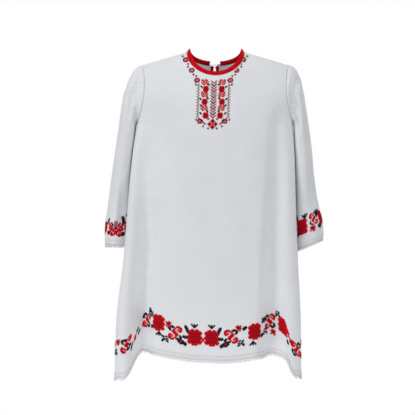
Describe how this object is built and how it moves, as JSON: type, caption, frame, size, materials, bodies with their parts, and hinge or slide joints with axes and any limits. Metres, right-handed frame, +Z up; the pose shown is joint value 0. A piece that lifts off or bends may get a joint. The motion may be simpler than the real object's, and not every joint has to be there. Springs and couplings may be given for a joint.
{
  "type": "child's embroidered folk tunic dress",
  "caption": "White A-line folk tunic dress, long sleeves, red bound round neck, back keyhole with button, embroidered hem and cuffs, lace edging.",
  "frame": {"origin": "on the shoulder line at the middle of the neck, where the wearer's shoulders hold the dress", "axes": "+Z up, -Y out of the chest, +X to the viewer's right, which is the wearer's left"},
  "size_m": [0.4705, 0.2197, 0.7128],
  "materials": {
    "cloth": "smooth matt white dress gabardine with a fine twill",
    "lace": "white cotton crochet edging",
    "binding": "red bias binding, soft satin",
    "button": "glossy white",
    "loop": "white covered elastic"
  },
  "bodies": {
    "root": {"front": "cloth", "back": "cloth", "sleeve_left": "cloth", "sleeve_right": "cloth", "hem_lace_front": "lace", "hem_lace_back": "lace", "cuff_lace_left": "lace", "cuff_lace_right": "lace", "neck_binding": "binding", "keyhole_binding": "binding", "button": "button", "button_loop": "loop"}
  },
  "joints": []
}
